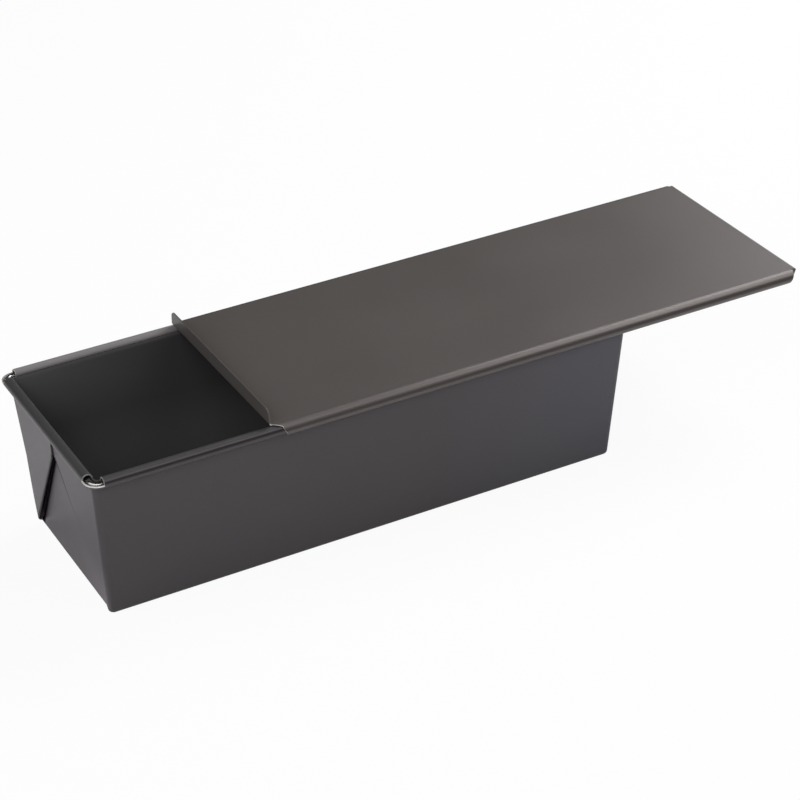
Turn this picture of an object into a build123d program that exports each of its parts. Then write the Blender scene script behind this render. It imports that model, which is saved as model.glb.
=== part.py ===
from build123d import *

import os
from math import hypot

# A long loaf tin with a lid that slides along its rolled rim.
# X runs along the tin, Y across it and Z up. The origin is the middle of the floor's underside.
# The lid stands where the photograph shows it, drawn part of the way to the right.

# The whole tin, millimetres
overall_length = 300.0
overall_width = 121.0
overall_height = 85.0
base_length = 281.0
base_width = 94.4

# The pan's sheet and its bends, whose radii are on the outside
sheet = 0.6
floor_bend = 2.5
end_bend = 1.5
corner_bend = 3.2

# The doubled ears of each end wall: the folds of a pair meet at an apex below the rim, under a slit
ear_stand = 1.3
ear_apex_drop = 18.0
ear_tip = 1.2
ear_slit = 0.45
ear_fold_radius = 0.6
ear_root = 5.5
ear_lap = 2.0

# How far the inner faces of the near ears stand out from the wall at three places on it
near_inner_apex = 0.4
near_inner_foot = 0.1
near_inner_top = -0.5

# The same for both faces of the far ears, which have sprung away from the wall along their folds
far_inner_apex = 0.9
far_inner_foot = 2.5
far_inner_top = -0.3
far_outer_apex = 2.2
far_outer_foot = 3.7
far_outer_top = 1.35
far_corner_bend = 9.0
far_floor_bend = 7.0

# The curl round the rim, cut away above its lower lip at each corner
curl_radius = 2.8
curl_turn = 4.5
side_curl_cut = 5.0
end_curl_cut = 6.2
seam_angle = 9.0

# The wire inside the curl, a rectangle with its ends butted on the far side
wire_radius = 1.4
wire_gap = 0.15
wire_butt = 0.5

# The lid: a flat top, side channels that hook under the curl, and a flange at each end
lid_sheet = 0.6
lid_clearance = 0.3
lid_drawn = 98.6
hook_angle = 10.0
channel_lead = 5.9
channel_lead_cut = 4.3
channel_lead_width = 2.5
channel_lead_drop = 2.0
channel_lead_slant = 2.9
channel_tail = 3.0
channel_tail_slant = 3.0
pull_height = 8.0
pull_overhang = 4.3
pull_bend = 1.0
pull_corner = 3.5
pull_slant = 0.5
stop_depth = 8.5
stop_bend = 0.8
stop_slant = 3.0

# How far a cutting shape runs past what it cuts
overrun = 5.0

# Places that follow from the sizes above
curl_level = overall_height - curl_radius
ear_apex = overall_height - ear_apex_drop
curl_bore = curl_radius - sheet
curl_x = overall_length / 2 - curl_radius
curl_y = overall_width / 2 - curl_radius
turn_x = curl_x - curl_turn
turn_y = curl_y - curl_turn
side_curl_end = curl_x - side_curl_cut
end_curl_end = curl_y - end_curl_cut
end_foot = base_length / 2
end_top = curl_x - curl_bore
side_foot = base_width / 2
side_top = curl_y - curl_bore
fold_foot = side_foot - ear_tip
end_lean = hypot(curl_level, end_top - end_foot) / curl_level
wire_level = curl_level - curl_bore + wire_radius + wire_gap
channel_inner = curl_radius + lid_clearance
channel_outer = channel_inner + lid_sheet
lid_under = overall_height + lid_clearance
lid_top = lid_under + lid_sheet
lid_right = overall_length / 2 + lid_clearance + lid_sheet + lid_drawn
lid_left = lid_drawn - overall_length / 2 - pull_overhang - lid_sheet
channel_left = lid_left + channel_lead
channel_right = lid_right - channel_tail
channel_low = lid_top - 2 * channel_outer


def leaning(foot, top, level):
    """How far a leaning wall stands from the middle of the tin at a height above the floor."""
    return foot + (top - foot) * level / curl_level


def tub_outline(foot, head, low):
    """The corners of a trapezium from a low level up to the middle of the curl."""
    return (-foot, low), (foot, low), (head, curl_level), (-head, curl_level)


def tub_block(stand, inset, upright_bend, foot_bend):
    """A solid tub with leaning sides: its ends stand out by one value, its faces lie inside by another."""
    out = stand * end_lean - inset
    foot_x, head_x = (leaning(end_foot, end_top, level) + out for level in (inset, curl_level))
    foot_y, head_y = (leaning(side_foot, side_top, level) - inset for level in (inset, curl_level))
    with BuildPart() as block:
        with BuildSketch(Plane.XZ):
            Polygon(*tub_outline(foot_x, head_x, inset), align=None)
        extrude(amount=overall_width, both=True)
        with BuildSketch(Plane.YZ):
            Polygon(*tub_outline(foot_y, head_y, inset), align=None)
        extrude(amount=overall_length, both=True, mode=Mode.INTERSECT)
        uprights = block.edges().filter_by(Axis.X, reverse=True).filter_by(Axis.Y, reverse=True)
        fillet(uprights, upright_bend - inset)
        fillet(block.edges().group_by(Axis.Z)[0], foot_bend - inset)
    return block.part


def curl_section(plane, outer, inner, start, span):
    """Part of a ring round the plane's origin, from one angle onwards."""
    with BuildSketch(plane) as section:
        with BuildLine():
            outside = CenterArc((0, 0), outer, start, span)
            inside = CenterArc((0, 0), inner, start, span)
            Line(outside @ 0, inside @ 0)
            Line(outside @ 1, inside @ 1)
        make_face()
    return section.sketch


def side_plane(side, x):
    """An upright plane across one long side's curl, its own x pointing away from the tin."""
    return Plane(origin=(x, side * curl_y, curl_level), x_dir=(0, side, 0), z_dir=(side, 0, 0))


def end_plane(end, y):
    """An upright plane across one end's curl, its own x pointing away from the tin."""
    return Plane(origin=(end * curl_x, y, curl_level), x_dir=(end, 0, 0), z_dir=(0, -end, 0))


# The end walls without their ears, from one side to the other, with their own bend to the floor
with BuildPart() as plain_tub:
    with BuildSketch(Plane.XZ):
        Polygon(*tub_outline(end_foot, end_top, 0), align=None)
    extrude(amount=overall_width, both=True)
    foot_edges = plain_tub.edges().filter_by(Axis.Y).group_by(Axis.Z)[0]
    fillet(foot_edges, end_bend)

# Each ear's fold runs down the end wall from the apex in the middle to a foot near the corner
end_wall = Plane(origin=(end_foot, 0, 0), x_dir=(0, 1, 0), z_dir=(curl_level, 0, end_foot - end_top))


def ear_face(at_apex, at_foot, at_top):
    """The plane that stands out from the end wall by three values, its own x running down the fold."""
    apex = end_wall.from_local_coords(Vector(0, ear_apex, at_apex))
    foot = end_wall.from_local_coords(Vector(fold_foot, 0, at_foot))
    top = end_wall.from_local_coords(Vector(0, curl_level, at_top))
    return Plane(origin=apex, x_dir=foot - apex, z_dir=(foot - apex).cross(top - apex))


def behind(face, lap):
    """A block from an ear's face inwards, from a little way inside its fold onwards."""
    with BuildPart() as block:
        with BuildSketch(face):
            with Locations((0, lap)):
                Rectangle(2 * overall_length, overall_length, align=(Align.CENTER, Align.MIN))
        extrude(amount=2 * overrun, dir=-end_wall.z_dir)
    return block.part


def crevice(face):
    """The gap behind an ear's inner face, which ends at the ear's root beside the tin's corner."""
    with BuildPart() as gap:
        with BuildSketch(end_wall):
            Polygon(
                (-overrun, -overrun),
                (side_foot - ear_root, -overrun),
                (side_top - ear_root, overall_height),
                (-overrun, overall_height),
                align=None,
            )
        extrude(amount=overrun, both=True)
        add(behind(face, -overrun), mode=Mode.INTERSECT)
    return gap.part


def beside_slit():
    """Keeps only what lies on one side of the slit between two ears."""
    low = (Align.MIN, Align.MIN, Align.MIN)
    with Locations((0, ear_slit / 2, 0)):
        Box(overall_length, overall_width, overall_height, align=low, mode=Mode.INTERSECT)


outside = tub_block(ear_stand, 0, corner_bend, floor_bend)
flat_face = ear_face(ear_stand, ear_stand, ear_stand)
near_back = ear_face(near_inner_apex, near_inner_foot, near_inner_top)
far_face = ear_face(far_outer_apex, far_outer_foot, far_outer_top)
far_back = ear_face(far_inner_apex, far_inner_foot, far_inner_top)

with BuildPart() as near_ear:
    add(behind(flat_face, 0))
    add(crevice(near_back), mode=Mode.SUBTRACT)
    fillet(near_ear.edges().sort_by_distance(flat_face.origin)[0], ear_fold_radius)
    beside_slit()
    add(outside, mode=Mode.INTERSECT)

# The part of a far ear that has sprung away
with BuildPart() as far_fold:
    add(behind(far_face, 0))
    add(crevice(far_back), mode=Mode.SUBTRACT)
    fold_edges = [far_fold.edges().sort_by_distance(face.origin)[0] for face in (far_face, far_back)]
    fillet(fold_edges, ear_fold_radius)
    beside_slit()
    add(tub_block(far_outer_foot, 0, far_corner_bend, far_floor_bend), mode=Mode.INTERSECT)

# The rest of it, flat against the wall
with BuildPart() as far_flat:
    add(behind(flat_face, ear_lap))
    add(crevice(far_back), mode=Mode.SUBTRACT)
    beside_slit()
    add(outside, mode=Mode.INTERSECT)

# The curl's hollow, straight along each side and turned at each corner
with BuildPart() as hollow:
    for side in (-1, 1):
        with BuildSketch(side_plane(side, -side * turn_x)):
            Circle(curl_bore)
        extrude(amount=2 * turn_x)
        with BuildSketch(end_plane(side, side * turn_y)):
            Circle(curl_bore)
        extrude(amount=2 * turn_y)
        for end in (-1, 1):
            with BuildSketch(side_plane(side, end * turn_x)):
                Circle(curl_bore)
            revolve(axis=Axis((end * turn_x, side * turn_y, 0), (0, 0, -side * end)), revolution_arc=90)

# The pan's body: floor, walls, ears, then the curl round the rim and the lip that runs on at the corners
with BuildPart() as pan_body:
    add(plain_tub.part)
    add(outside, mode=Mode.INTERSECT)
    near_right = mirror(near_ear.part, about=Plane.XZ, mode=Mode.PRIVATE)
    for ear in (near_right, far_flat.part, far_fold.part):
        add(ear)
        add(mirror(ear, about=Plane.YZ, mode=Mode.PRIVATE))
    add(tub_block(0, sheet, corner_bend, floor_bend), mode=Mode.SUBTRACT)
    add(hollow.part, mode=Mode.SUBTRACT)
    for side in (-1, 1):
        side_run = (side_plane(side, -side * side_curl_end), 2 * side_curl_end, 360 - seam_angle)
        end_run = (end_plane(side, side * end_curl_end), 2 * end_curl_end, 360 - seam_angle)
        side_lip = (side_plane(side, -side * turn_x), 2 * turn_x, 180)
        end_lip = (end_plane(side, side * turn_y), 2 * turn_y, 180)
        for plane, length, span in (side_run, end_run, side_lip, end_lip):
            extrude(curl_section(plane, curl_radius, curl_bore, 180, span), amount=length)
        for end in (-1, 1):
            corner = Axis((end * turn_x, side * turn_y, 0), (0, 0, -side * end))
            lip = curl_section(side_plane(side, end * turn_x), curl_radius, curl_bore, 180, 180)
            revolve(lip, axis=corner, revolution_arc=90)
pan_body.part.label = "pan_body"

# The wire lies on the bottom of the curl's hollow
with BuildPart() as rim_wire:
    with BuildLine(Plane.XY.offset(wire_level)) as wire_path:
        FilletPolyline(
            (wire_butt / 2, curl_y),
            (curl_x, curl_y),
            (curl_x, -curl_y),
            (-curl_x, -curl_y),
            (-curl_x, curl_y),
            (-wire_butt / 2, curl_y),
            radius=curl_turn,
        )
    with BuildSketch(Plane(origin=wire_path.line @ 0, z_dir=wire_path.line % 0)):
        Circle(wire_radius)
    sweep(path=wire_path.line)
rim_wire.part.label = "rim_wire"

# The lid's side channels, cut at slants at both ends
with BuildPart() as channels:
    for side, start in ((-1, channel_right), (1, channel_left - channel_lead_cut)):
        plane = side_plane(side, start)
        section = curl_section(plane, channel_outer, channel_inner, -90 - hook_angle, 180 + hook_angle)
        extrude(section, amount=channel_right - channel_left + channel_lead_cut)
        with BuildSketch(Plane.XY):
            Polygon(
                (channel_left - channel_lead_cut, side * curl_y),
                (channel_left, side * (curl_y + channel_lead_width)),
                (channel_left, side * overall_width),
                (-overall_length, side * overall_width),
                (-overall_length, side * curl_y),
                align=None,
            )
        extrude(amount=overall_length, mode=Mode.SUBTRACT)
    with BuildSketch(Plane.XZ):
        Polygon(
            (channel_right, lid_top),
            (channel_right - channel_tail_slant, channel_low),
            (channel_right, channel_low),
            align=None,
        )
        Polygon(
            (-overall_length, lid_top - channel_lead_drop),
            (channel_left, lid_top - channel_lead_drop),
            (channel_left + channel_lead_slant, channel_low),
            (-overall_length, channel_low),
            align=None,
        )
    extrude(amount=overall_width, both=True, mode=Mode.SUBTRACT)

# The lid: a strip bent up at one end and down at the other, its flanges narrowing away from it
with BuildPart() as lid:
    with BuildSketch(Plane.XZ):
        with BuildLine():
            FilletPolyline(
                (lid_left, lid_top + pull_height),
                (lid_left, lid_under),
                (lid_right - lid_sheet, lid_under),
                (lid_right - lid_sheet, lid_top - stop_depth),
                (lid_right, lid_top - stop_depth),
                (lid_right, lid_top),
                (lid_left + lid_sheet, lid_top),
                (lid_left + lid_sheet, lid_top + pull_height),
                radius=(0, pull_bend + lid_sheet, stop_bend, 0, 0, stop_bend + lid_sheet, pull_bend, 0),
                close=True,
            )
        make_face()
    extrude(amount=curl_y, both=True)
    with BuildSketch(Plane.YZ) as flange_ends:
        Polygon(
            (stop_slant - curl_y, lid_top - stop_depth),
            (curl_y - stop_slant, lid_top - stop_depth),
            (curl_y, lid_under),
            (curl_y, lid_top),
            (curl_y - pull_slant, lid_top + pull_height),
            (pull_slant - curl_y, lid_top + pull_height),
            (-curl_y, lid_top),
            (-curl_y, lid_under),
            align=None,
        )
        fillet(flange_ends.vertices().group_by(Axis.Y)[-1], pull_corner)
    extrude(amount=lid_right, both=True, mode=Mode.INTERSECT)
    add(channels.part)
lid.part.label = "lid"

os.makedirs("parts", exist_ok=True)
for piece in (pan_body, rim_wire, lid):
    export_step(piece.part, f"parts/{piece.part.label}.step")
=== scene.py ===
import math

import bpy
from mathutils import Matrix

# A dark coated loaf tin with its lid drawn part of the way off, on a white table.
# Lengths are metres, in the frame of the solids: X along the tin, Y across it, Z up.

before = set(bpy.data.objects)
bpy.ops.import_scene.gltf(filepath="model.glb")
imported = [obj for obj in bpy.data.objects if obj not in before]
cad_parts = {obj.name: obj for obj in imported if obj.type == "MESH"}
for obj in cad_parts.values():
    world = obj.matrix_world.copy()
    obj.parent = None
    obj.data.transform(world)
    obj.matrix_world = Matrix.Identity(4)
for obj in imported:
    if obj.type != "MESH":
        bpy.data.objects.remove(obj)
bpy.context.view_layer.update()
pan_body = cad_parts["pan_body"]
rim_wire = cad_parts["rim_wire"]
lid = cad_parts["lid"]


def grey(value):
    """A colour of three equal parts."""
    return (value, value, value)


# Places on the pieces that the painted light and shade follow. Along and across are measured from the
# middle, on either side of it. A wall's place is the one at its foot, and its lean is how far it goes out
# with height. Two places are where a shade starts and where it is full. Four are those of a band: it
# starts, is full, begins to fade and ends.

# The pan's walls and rim
curl_level = 0.0822
curl_across = 0.0577
curl_inside = 0.0545
rim_foot = 0.0815
end_lean = 0.0547
side_lean = 0.101
end_skin = 0.1403
end_lining = 0.1395
side_lining = 0.0469
side_bend = (0.0468, 0.0438)
foot_line = 0.0008

# Where the pan's painted light and shade lie
near_corner_y = (-0.01, -0.045)
near_corner_up = (0.03, 0.005)
lining_foot_up = (0.05, 0.005)
lining_left_x = (-0.07, -0.14)
lining_left_up = (0.05, 0.08)
near_side_x = (0.04, 0.14)
near_side_y = -0.03
far_crown_up = (0.0803, 0.085)
near_shoulder_up = (0.082, 0.0826, 0.0833, 0.0839)

# The folds of each end wall's ears rise from the foot towards the middle, where they meet
fold_foot = 0.046
fold_rise = 0.6866
ear_apex = 0.067
flat_reach = 0.0022
flat_up = (0.04, 0.06)
flat_depth = 0.5
wall_limit = 0.1412
sprung_past = (-0.0028, -0.0008)
sprung_end = 0.0005
edge_limit = 0.1414
edge_past = (0.0034, 0.0014)
edge_end = -0.001

# Bare cut edges of the pan: the curls' ends and the rim of each corner's lip
curls_end_above = 0.0821
side_curl_end = 0.1422
end_curl_end = 0.0515
end_curl_from = 0.144
cut_reach = 0.00015
curls_bare = 0.35
lip_along = 0.1421
lip_across = 0.0514
lip_outside = 0.2003
lip_level = 0.0819
lip_reach = 0.0004

# The slanting cut edge at the start of each of the lid's side channels
cut_along = -0.0504
cut_across = 0.0602
cut_level = 0.0839
cut_rise = -1.72
cut_fall = 0.537
cut_depth = 0.0001
cut_from = 0.0573
cut_below = 0.0865
channel_middle = 0.0034
channel_bare = 0.6

# The lid's rolls over the rim
roll_crown_up = (0.0854, 0.0857)
roll_shoulder_up = (0.0838, 0.0845, 0.0852, 0.0857)
roll_shoulder_x = (0.0, 0.16)
roll_shoulder_left = 0.15
roll_belly_up = (0.0816, 0.0822, 0.0831, 0.0838)

# Colours, and the painted light and shade that multiply them
pan_colour = (0.056, 0.0555, 0.0555)
pan_sheen = (1.0, 0.79, 0.95)
lid_colour = (0.092, 0.0835, 0.079)
lid_sheen = (1.0, 0.87, 0.9)
wire_colour = (0.42, 0.41, 0.4)
cut_colour = (0.8, 0.78, 0.75)
far_crown_painted_reflection = (0.22, 0.213, 0.21)
end_wall_painted_shade = (0.82, 0.72, 0.84)
near_side_painted_light = (1.2, 1.28, 1.42)
near_corner_painted_light = grey(3.1)
lining_foot_painted_light = grey(1.9)
lining_left_painted_light = grey(1.8)
near_shoulder_painted_shade = grey(0.35)
edge_painted_shade = grey(0.6)
crease_painted_shadow = grey(0.03)
foot_line_painted_shadow = grey(0.4)
roll_crown_painted_shade = grey(0.8)
roll_shoulder_painted_highlight = grey(2.4)
roll_belly_painted_shade = grey(0.4)
inner_cut_painted_shadow = grey(0.05)

# The coat's gloss and grain, and the wire's. A noise has a scale and a detail
pan_gloss = 0.37
lid_gloss = 0.45
grain_noise = (2600.0, 2.0)
grain_tone = (0.93, 1.07)
grain_strength = 0.15
grain_height = 0.0001
cloud_noise = (14.0, 4.0)
cloud_tone = (0.97, 1.03)
coat_roughness = (0.32, 0.38)
crease_roughness = 0.6
cut_metal = 0.6
wire_noise = (900.0, 3.0)
wire_roughness = (0.2, 0.34)
noise_middle = (0.3, 0.7)

# The table, and how brightly it glows as seen by the camera and by a gleam
table_side = 12.0
table_drop = 0.0001
table_colour = grey(0.85)
table_seen = 0.93
table_gleam = 0.2

# Each lamp's place, the place it points at, its width and height, and its power in watts
softboxes = {
    "top softbox": ((1.1, 0.3, 1.2), (0.15, 0.0, 0.05), (1.0, 0.8), 18.5),
    "left softbox": ((-1.5, -0.2, 1.1), (-0.1, 0.0, 0.05), (2.0, 1.4), 16.5),
    "front left softbox": ((-0.7, -1.3, 1.2), (-0.05, 0.0, 0.05), (1.0, 0.8), 10.0),
    "front right softbox": ((0.6, -1.2, 1.4), (0.05, 0.0, 0.05), (1.0, 0.8), 6.0),
    "rear right softbox": ((1.65, 1.2, 0.8), (0.25, 0.0, 0.08), (0.9, 0.6), 4.0),
}

# The camera, where the photograph was taken from. Its lens and sensor are in millimetres
lens_length = 110.21
sensor_width = 36.0
clip_start = 0.01
camera_place = (-0.4539, -0.9686, 0.6916)
camera_degrees = (59.0636, 1.7535, -28.2239)


# Node building

def new_material(name):
    """An empty material with its node tree and surface shader."""
    material = bpy.data.materials.new(name)
    material.use_nodes = True
    tree = material.node_tree
    tree.nodes.clear()
    shader = tree.nodes.new("ShaderNodeBsdfPrincipled")
    output = tree.nodes.new("ShaderNodeOutputMaterial")
    tree.links.new(shader.outputs["BSDF"], output.inputs["Surface"])
    return material, tree, shader


def plug(tree, socket, value):
    """Links a socket to another socket, or sets it to a plain value."""
    if isinstance(value, bpy.types.NodeSocket):
        tree.links.new(value, socket)
    else:
        socket.default_value = value


def sum_node(tree, operation, first, second=0.0, third=0.0):
    """One Math node of two or three values."""
    node = tree.nodes.new("ShaderNodeMath")
    node.operation = operation
    for socket, value in zip(node.inputs, (first, second, third)):
        plug(tree, socket, value)
    return node.outputs["Value"]


def speckle(tree, scale, detail):
    """Noise on the piece's own coordinates."""
    node = tree.nodes.new("ShaderNodeTexNoise")
    place = tree.nodes.new("ShaderNodeTexCoord").outputs["Object"]
    plug(tree, node.inputs["Vector"], place)
    node.inputs["Scale"].default_value = scale
    node.inputs["Detail"].default_value = detail
    return node.outputs["Fac"]


def ramp(tree, value, start, end, low=0.0, high=1.0):
    """A value that goes from low to high while another goes from start to end."""
    node = tree.nodes.new("ShaderNodeMapRange")
    node.inputs["From Min"].default_value = start
    node.inputs["From Max"].default_value = end
    node.inputs["To Min"].default_value = low
    node.inputs["To Max"].default_value = high
    plug(tree, node.inputs["Value"], value)
    return node.outputs["Result"]


def spread(tree, noise, low, high):
    """Turns the middle of a noise into a value from low to high."""
    return ramp(tree, noise, *noise_middle, low, high)


def blend_colours(tree, factor, first, second, how="MIX"):
    """One colour over another."""
    node = tree.nodes.new("ShaderNodeMix")
    node.data_type = "RGBA"
    node.blend_type = how
    plug(tree, node.inputs["Factor"], factor)
    plug(tree, node.inputs[6], first)
    plug(tree, node.inputs[7], second)
    return node.outputs[2]


def shaded(tree, colour, amount, shade):
    """A colour multiplied by a shade, as far as an amount from 0 to 1 says."""
    return blend_colours(tree, amount, colour, (*shade, 1.0), "MULTIPLY")


def all_of(tree, *values):
    """The product of several masks."""
    result = values[0]
    for value in values[1:]:
        result = sum_node(tree, "MULTIPLY", result, value)
    return result


def over(tree, value, limit):
    """One where a value is above a limit, zero elsewhere."""
    return sum_node(tree, "GREATER_THAN", value, limit)


def under(tree, value, limit):
    """One where a value is below a limit, zero elsewhere."""
    return sum_node(tree, "LESS_THAN", value, limit)


def near(tree, value, middle, reach):
    """One where a value lies within a reach of a middle."""
    return sum_node(tree, "COMPARE", value, middle, reach)


def band(tree, value, start, full, fade, end):
    """One between two places, going to zero outside them."""
    return all_of(tree, ramp(tree, value, start, full), ramp(tree, value, end, fade))


def coordinates(tree):
    """The piece's own X and Y, the same without their signs, and its Z."""
    split = tree.nodes.new("ShaderNodeSeparateXYZ")
    plug(tree, split.inputs["Vector"], tree.nodes.new("ShaderNodeTexCoord").outputs["Object"])
    x, y, up = split.outputs
    along = sum_node(tree, "ABSOLUTE", x)
    across = sum_node(tree, "ABSOLUTE", y)
    return x, y, along, across, up


# The pan's and the lid's bare edges, and the light and shade painted on their coats

def pan_edges(tree):
    """Where the pan's sheet shows its bare cut edge: the ends of the curls and the rim of each lip."""
    *_, along, across, up = coordinates(tree)
    side_ends = all_of(tree, near(tree, along, side_curl_end, cut_reach), over(tree, across, curl_inside))
    end_ends = all_of(tree, near(tree, across, end_curl_end, cut_reach), over(tree, along, end_curl_from))
    ends = sum_node(tree, "MAXIMUM", side_ends, end_ends)
    ends = all_of(tree, ends, over(tree, up, curls_end_above), curls_bare)
    corner = all_of(tree, over(tree, along, lip_along), over(tree, across, lip_across))
    outer = over(tree, sum_node(tree, "ADD", along, across), lip_outside)
    lips = all_of(tree, corner, outer, near(tree, up, lip_level, lip_reach))
    return sum_node(tree, "MAXIMUM", ends, lips)


def pan_painted_shading(tree, colour):
    """The coat's colour over the pan with its painted light and shade, and the painted shadow in the
    creases of its ears that no light reaches.
    """
    x, y, along, across, up = coordinates(tree)
    stand = sum_node(tree, "MULTIPLY_ADD", up, -end_lean, along)
    flank = sum_node(tree, "MULTIPLY_ADD", up, -side_lean, across)
    below_rim = under(tree, up, rim_foot)
    ends = all_of(tree, over(tree, stand, end_skin), below_rim)

    # The end walls carry painted shade with a painted violet sheen, and painted light makes them paler
    # towards the near bottom corner
    face = all_of(tree, ends, ramp(tree, flank, *side_bend))
    corner = all_of(tree, face, ramp(tree, y, *near_corner_y), ramp(tree, up, *near_corner_up))
    colour = shaded(tree, colour, face, end_wall_painted_shade)
    colour = shaded(tree, colour, corner, near_corner_painted_light)

    # Painted light makes the far half's inside paler at its foot and towards its top left corner
    lining = all_of(tree, under(tree, flank, side_lining), under(tree, stand, end_lining), below_rim)
    lining = all_of(tree, lining, over(tree, y, 0.0))
    foot = all_of(tree, lining, ramp(tree, up, *lining_foot_up))
    left = all_of(tree, lining, ramp(tree, x, *lining_left_x), ramp(tree, up, *lining_left_up))
    colour = shaded(tree, colour, foot, lining_foot_painted_light)
    colour = shaded(tree, colour, left, lining_left_painted_light)

    # Painted light makes the near side brighter and cooler towards the right, a painted reflection makes
    # the far rim's crown pale, and painted shade darkens the near rim's shoulder
    right = all_of(tree, ramp(tree, x, *near_side_x), under(tree, y, near_side_y))
    crown = all_of(tree, ramp(tree, up, *far_crown_up), over(tree, y, curl_inside))
    shoulder = all_of(tree, band(tree, up, *near_shoulder_up), under(tree, y, -curl_across))
    colour = shaded(tree, colour, right, near_side_painted_light)
    colour = blend_colours(tree, crown, colour, (*far_crown_painted_reflection, 1.0))
    colour = shaded(tree, colour, shoulder, near_shoulder_painted_shade)

    # Painted shadow in the creases: along the flat near ears' folds, and on the wall just inside the
    # sprung far ears' folds
    fold = sum_node(tree, "MULTIPLY_ADD", up, fold_rise, -fold_foot)
    past = sum_node(tree, "ADD", y, fold)
    ears = all_of(tree, ends, under(tree, up, ear_apex))
    flat = all_of(tree, ears, near(tree, y, fold, flat_reach), ramp(tree, up, *flat_up, 0.0, flat_depth))
    wall = all_of(tree, ears, under(tree, stand, wall_limit))
    sprung = all_of(tree, wall, under(tree, past, sprung_end), ramp(tree, past, *sprung_past))
    painted_shadow_mask = sum_node(tree, "MAXIMUM", flat, sprung)

    # Painted shade on the sprung ears' folded edges, which turn away from the light, and a painted shadow
    # line round the foot
    edge = all_of(tree, ears, over(tree, stand, edge_limit))
    edge = all_of(tree, edge, over(tree, past, edge_end), ramp(tree, past, *edge_past))
    colour = shaded(tree, colour, edge, edge_painted_shade)
    colour = shaded(tree, colour, painted_shadow_mask, crease_painted_shadow)
    return shaded(tree, colour, under(tree, up, foot_line), foot_line_painted_shadow), painted_shadow_mask


def lid_edges(tree):
    """Where the lid's sheet shows its bare cut edge: the slanting starts of the side channels."""
    x, _, _, across, up = coordinates(tree)
    inward = sum_node(tree, "MAXIMUM", sum_node(tree, "SUBTRACT", cut_across, across))
    inward = all_of(tree, inward, over(tree, up, cut_level), cut_rise)
    down = sum_node(tree, "MAXIMUM", sum_node(tree, "SUBTRACT", cut_level, up))
    start = sum_node(tree, "MULTIPLY_ADD", down, cut_fall, sum_node(tree, "ADD", inward, cut_along))
    depth = sum_node(tree, "SUBTRACT", x, start)
    channel = all_of(tree, over(tree, across, cut_from), under(tree, up, cut_below))
    return all_of(tree, under(tree, depth, cut_depth), channel)


def lid_outer_half(tree):
    """Where a channel's sheet is nearer to its outside than to the rim."""
    *_, across, up = coordinates(tree)
    out = sum_node(tree, "MAXIMUM", sum_node(tree, "SUBTRACT", across, curl_across))
    rise = sum_node(tree, "SUBTRACT", up, curl_level)
    square = sum_node(tree, "ADD", *(sum_node(tree, "POWER", side, 2.0) for side in (out, rise)))
    return over(tree, square, channel_middle ** 2)


def lid_bare(tree):
    """The outer half of the channels' cut edges catches the light."""
    return all_of(tree, lid_edges(tree), lid_outer_half(tree), channel_bare)


def lid_painted_shading(tree, colour):
    """The coat's colour over the lid with painted shade and highlights on its rolls, and a painted shadow
    on the inner half of its cut edges, which lies in shadow.
    """
    x, _, _, across, up = coordinates(tree)
    roll = over(tree, across, curl_across)
    crown = all_of(tree, roll, ramp(tree, up, *roll_crown_up))
    shoulder = all_of(tree, roll, band(tree, up, *roll_shoulder_up))
    shoulder = all_of(tree, shoulder, ramp(tree, x, *roll_shoulder_x, roll_shoulder_left))
    belly = all_of(tree, roll, band(tree, up, *roll_belly_up))
    # Painted shadow on the inner half of the channels' cut edges, which faces the gap over the rim
    inner = all_of(tree, lid_edges(tree), sum_node(tree, "SUBTRACT", 1.0, lid_outer_half(tree)))
    # Painted shade on the rolls' crowns and bellies, and a painted highlight on their shoulders that grows
    # towards the right
    colour = shaded(tree, colour, crown, roll_crown_painted_shade)
    colour = shaded(tree, colour, shoulder, roll_shoulder_painted_highlight)
    colour = shaded(tree, colour, belly, roll_belly_painted_shade)
    return shaded(tree, colour, inner, inner_cut_painted_shadow), inner


# Materials

def coated_sheet(name, coat, gloss, sheen, shades, edges):
    """Sheet steel under a dark satin coat with a fine metallic grain, bare where it was cut."""
    material, tree, shader = new_material(name)
    grain = speckle(tree, *grain_noise)
    clouds = speckle(tree, *cloud_noise)
    shade = all_of(tree, spread(tree, grain, *grain_tone), spread(tree, clouds, *cloud_tone))
    tone = tree.nodes.new("ShaderNodeCombineColor")
    for socket in tone.inputs:
        plug(tree, socket, shade)
    colour = blend_colours(tree, 1.0, (*coat, 1.0), tone.outputs["Color"], "MULTIPLY")
    colour, painted_shadow_mask = shades(tree, colour)
    bare = edges(tree)
    satin = spread(tree, clouds, *coat_roughness)
    plug(tree, shader.inputs["Base Color"], blend_colours(tree, bare, colour, (*cut_colour, 1.0)))
    # Where painted shadow lies the sheet is also made metallic and rougher, so that its dark colour
    # reflects almost nothing
    plug(tree, shader.inputs["Metallic"], sum_node(tree, "MULTIPLY_ADD", bare, cut_metal, painted_shadow_mask))
    plug(tree, shader.inputs["Roughness"], sum_node(tree, "MULTIPLY_ADD", painted_shadow_mask, crease_roughness, satin))
    shader.inputs["Specular IOR Level"].default_value = gloss
    shader.inputs["Specular Tint"].default_value = (*sheen, 1.0)
    bump = tree.nodes.new("ShaderNodeBump")
    bump.inputs["Strength"].default_value = grain_strength
    bump.inputs["Distance"].default_value = grain_height
    plug(tree, bump.inputs["Height"], grain)
    plug(tree, shader.inputs["Normal"], bump.outputs["Normal"])
    return material


def bright_wire():
    """Bare drawn steel wire."""
    material, tree, shader = new_material("drawn wire")
    streaks = speckle(tree, *wire_noise)
    plug(tree, shader.inputs["Base Color"], (*wire_colour, 1.0))
    plug(tree, shader.inputs["Roughness"], spread(tree, streaks, *wire_roughness))
    shader.inputs["Metallic"].default_value = 1.0
    return material


def dress(piece, material):
    """Puts one material on all of a piece's slots."""
    for slot in piece.material_slots:
        slot.material = material


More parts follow.
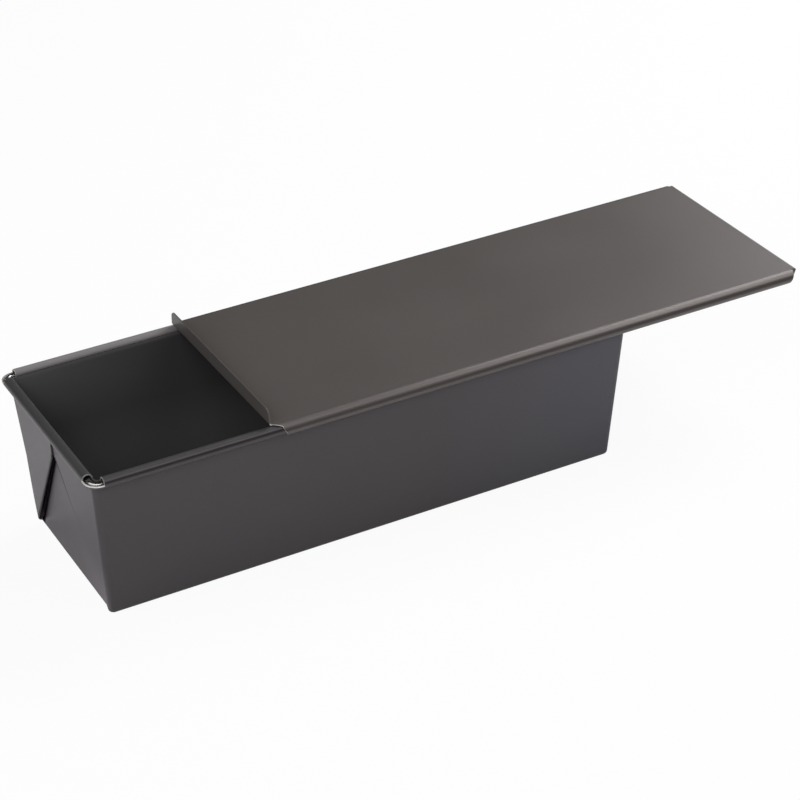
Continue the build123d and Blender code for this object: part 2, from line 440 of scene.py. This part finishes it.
dress(pan_body, coated_sheet("pan coat", pan_colour, pan_gloss, pan_sheen, pan_painted_shading, pan_edges))
dress(lid, coated_sheet("lid coat", lid_colour, lid_gloss, lid_sheen, lid_painted_shading, lid_bare))
dress(rim_wire, bright_wire())


# A white table, which glows a little where the camera or a gleam sees it

bpy.ops.object.select_all(action="DESELECT")
bpy.ops.mesh.primitive_plane_add(size=table_side, location=(0.0, 0.0, -table_drop))
table = bpy.context.object
table.name = "table"
white = bpy.data.materials.new("white table")
white.use_nodes = True
tree = white.node_tree
tree.nodes.clear()
paint = tree.nodes.new("ShaderNodeBsdfDiffuse")
paint.inputs["Color"].default_value = (*table_colour, 1.0)
glow = tree.nodes.new("ShaderNodeEmission")
mixed = tree.nodes.new("ShaderNodeMixShader")
path = tree.nodes.new("ShaderNodeLightPath")
mirrored = sum_node(tree, "MULTIPLY", path.outputs["Is Glossy Ray"], table_gleam)
share = sum_node(tree, "MULTIPLY_ADD", path.outputs["Is Camera Ray"], table_seen, mirrored)
plug(tree, mixed.inputs["Fac"], share)
tree.links.new(paint.outputs["BSDF"], mixed.inputs[1])
tree.links.new(glow.outputs["Emission"], mixed.inputs[2])
output = tree.nodes.new("ShaderNodeOutputMaterial")
tree.links.new(mixed.outputs["Shader"], output.inputs["Surface"])
table.data.materials.append(white)


# The room is white to the camera and gives no light of its own

world = bpy.data.worlds.new("studio")
bpy.context.scene.world = world
world.use_nodes = True
tree = world.node_tree
tree.nodes.clear()
path = tree.nodes.new("ShaderNodeLightPath")
mixed = tree.nodes.new("ShaderNodeMixShader")
tree.links.new(path.outputs["Is Camera Ray"], mixed.inputs["Fac"])
for index, strength in ((1, 0.0), (2, 1.0)):
    backdrop = tree.nodes.new("ShaderNodeBackground")
    backdrop.inputs["Color"].default_value = (*grey(1.0), 1.0)
    backdrop.inputs["Strength"].default_value = strength
    tree.links.new(backdrop.outputs["Background"], mixed.inputs[index])
output = tree.nodes.new("ShaderNodeOutputWorld")
tree.links.new(mixed.outputs["Shader"], output.inputs["Surface"])


# Lamps and camera

for name, (place, target, (width, height), power) in softboxes.items():
    lamp = bpy.data.lights.new(name, "AREA")
    lamp.shape = "RECTANGLE"
    lamp.size = width
    lamp.size_y = height
    lamp.energy = power
    holder = bpy.data.objects.new(name, lamp)
    bpy.context.scene.collection.objects.link(holder)
    aim = [to - at for to, at in zip(target, place)]
    tilt = math.acos(-aim[2] / math.hypot(*aim))
    turn = math.atan2(aim[1], aim[0]) - math.pi / 2
    holder.location = place
    holder.rotation_euler = (tilt, 0.0, turn)

lens = bpy.data.cameras.new("camera")
lens.lens = lens_length
lens.sensor_width = sensor_width
lens.clip_start = clip_start
camera = bpy.data.objects.new("camera", lens)
bpy.context.scene.collection.objects.link(camera)
camera.location = camera_place
camera.rotation_euler = [math.radians(angle) for angle in camera_degrees]
bpy.context.scene.camera = camera
bpy.context.scene.view_settings.view_transform = "Standard"
